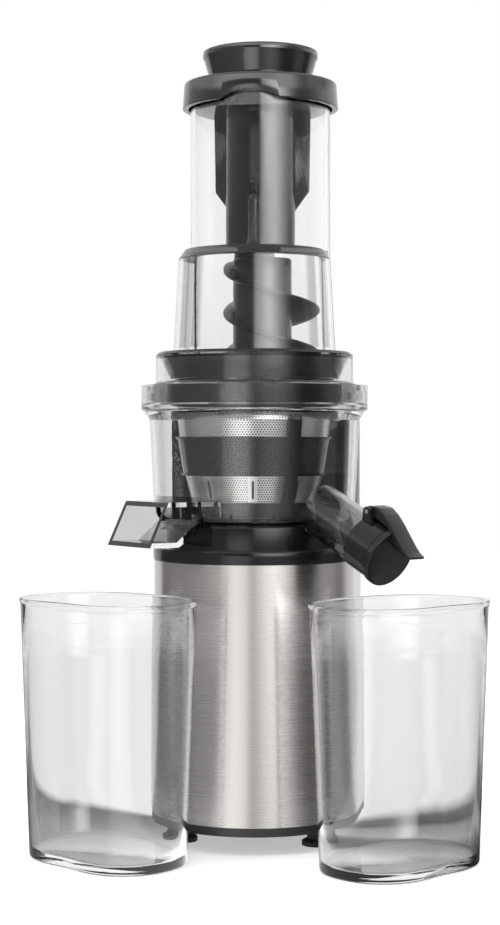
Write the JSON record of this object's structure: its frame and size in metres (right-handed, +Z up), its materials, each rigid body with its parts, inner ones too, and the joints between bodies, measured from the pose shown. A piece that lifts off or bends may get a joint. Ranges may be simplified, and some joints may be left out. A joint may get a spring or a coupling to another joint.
{
  "type": "cold press juicer",
  "caption": "Vertical slow juicer: steel motor base, clear lift-off bowl with strainer and auger, chute with pusher, capped juice spout, pulp spout and clear cups.",
  "frame": {"origin": "on the table, in the middle of the footprint of the base and both cups; the auger axis stands 7.5 mm to the left of it and 11 mm behind it", "axes": "+Z up along the auger axis, -Y is the front, +X is to the right as seen from the front"},
  "size_m": [0.2578, 0.2219, 0.4575],
  "materials": {
    "steel_sleeve": "vertical brushing, satin",
    "motor_steel": "plated steel",
    "bearing_steel": "ground steel",
    "sieve_steel": "perforated sheet",
    "screws": "zinc plated",
    "cast_metal": "cast",
    "copper": "enamelled winding",
    "bronze": "sintered bush",
    "black_gloss": "gloss",
    "black_plastic": "fine texture",
    "grey_resin": "satin resin",
    "nylon": "natural nylon",
    "board": "circuit board",
    "rubber": "matte",
    "silicone": "matte, translucent",
    "clear_plastic": "clear, polished"
  },
  "bodies": {
    "base": {"base_shell": "steel_sleeve", "base_bottom": "black_plastic", "rubber_feet": "rubber", "base_screws": "screws", "top_deck": "black_gloss", "rear_column": "black_gloss", "interlock_switch": "black_plastic", "motor_can": "motor_steel", "motor_cap": "cast_metal", "stator": "copper", "motor_bushes": "bronze", "gearbox_case": "nylon", "gearbox_cover": "nylon", "gearbox_screws": "screws", "drive_bearing": "bearing_steel", "drive_bush": "bronze", "shaft_seal": "silicone", "control_board": "board", "switch_bezel": "black_plastic", "cord_gland": "rubber"},
    "motor": {"motor_shaft": "bearing_steel", "motor_rotor": "motor_steel", "motor_pinion": "bearing_steel", "cooling_fan": "nylon"},
    "idler": {"idler_shaft": "bearing_steel", "idler_gear": "nylon"},
    "drive": {"output_gear": "nylon", "drive_shaft": "bearing_steel"},
    "rocker": {"switch_rocker": "black_gloss"},
    "bowl": {"juice_bowl": "clear_plastic", "bowl_seal": "silicone", "strainer_frame": "black_gloss", "strainer_mesh": "sieve_steel", "spout_ring": "black_gloss", "cap_hinge_pin": "bearing_steel"},
    "cap": {"spout_cap": "black_gloss", "cap_seal": "silicone"},
    "auger": {"auger": "grey_resin", "auger_hex_insert": "bearing_steel", "auger_seal": "silicone"},
    "hopper": {"hopper": "clear_plastic", "hopper_ring": "black_gloss", "interlock_magnet": "cast_metal"},
    "pusher": {"pusher_knob": "black_gloss", "pusher_column": "black_gloss"},
    "juice_cup": {"juice_cup": "clear_plastic"},
    "pulp_cup": {"pulp_cup": "clear_plastic"}
  },
  "joints": [
    {"name": "motor_spin", "type": "hinge", "parent": "base", "child": "motor", "pos_m": [-0.0075, 0.03, 0.06], "axis": [0, 0, 1], "continuous": true},
    {"name": "idler_spin", "type": "hinge", "parent": "base", "child": "idler", "pos_m": [-0.03148, 0.02903, 0.12], "axis": [0, 0, 1], "continuous": true},
    {"name": "drive_spin", "type": "hinge", "parent": "base", "child": "drive", "pos_m": [-0.0075, 0.011, 0.13], "axis": [0, 0, 1], "continuous": true},
    {"name": "auger_spin", "type": "hinge", "parent": "bowl", "child": "auger", "pos_m": [-0.0075, 0.011, 0.2], "axis": [0, 0, 1], "continuous": true},
    {"name": "bowl_lift", "type": "slide", "parent": "base", "child": "bowl", "axis": [0, 0, 1], "range_m": [0, 0.1]},
    {"name": "hopper_twist", "type": "hinge", "parent": "bowl", "child": "hopper", "pos_m": [-0.0075, 0.011, 0.26], "axis": [0, 0, 1], "range_deg": [0, 32]},
    {"name": "pusher_lift", "type": "slide", "parent": "hopper", "child": "pusher", "axis": [0, 0, 1], "range_m": [0, 0.12]},
    {"name": "spout_cap_flip", "type": "hinge", "parent": "bowl", "child": "cap", "pos_m": [0.06852, -0.05056, 0.19019], "axis": [-0.6293, -0.7771, 0], "range_deg": [0, 100]},
    {"name": "switch_rock", "type": "hinge", "parent": "base", "child": "rocker", "pos_m": [-0.0075, 0.1039, 0.116], "axis": [1, 0, 0], "range_deg": [0, 16]},
    {"name": "juice_cup_slide", "type": "slide", "parent": "base", "child": "juice_cup", "axis": [0.791, -0.6119, 0], "range_m": [0, 0.12]},
    {"name": "pulp_cup_slide", "type": "slide", "parent": "base", "child": "pulp_cup", "axis": [-0.6834, -0.7301, 0], "range_m": [0, 0.12]}
  ],
  "couplings": [
    {"joint": "idler_spin", "follows": "motor_spin", "ratio": -0.2},
    {"joint": "drive_spin", "follows": "motor_spin", "ratio": 0.04},
    {"joint": "auger_spin", "follows": "motor_spin", "ratio": 0.04}
  ]
}
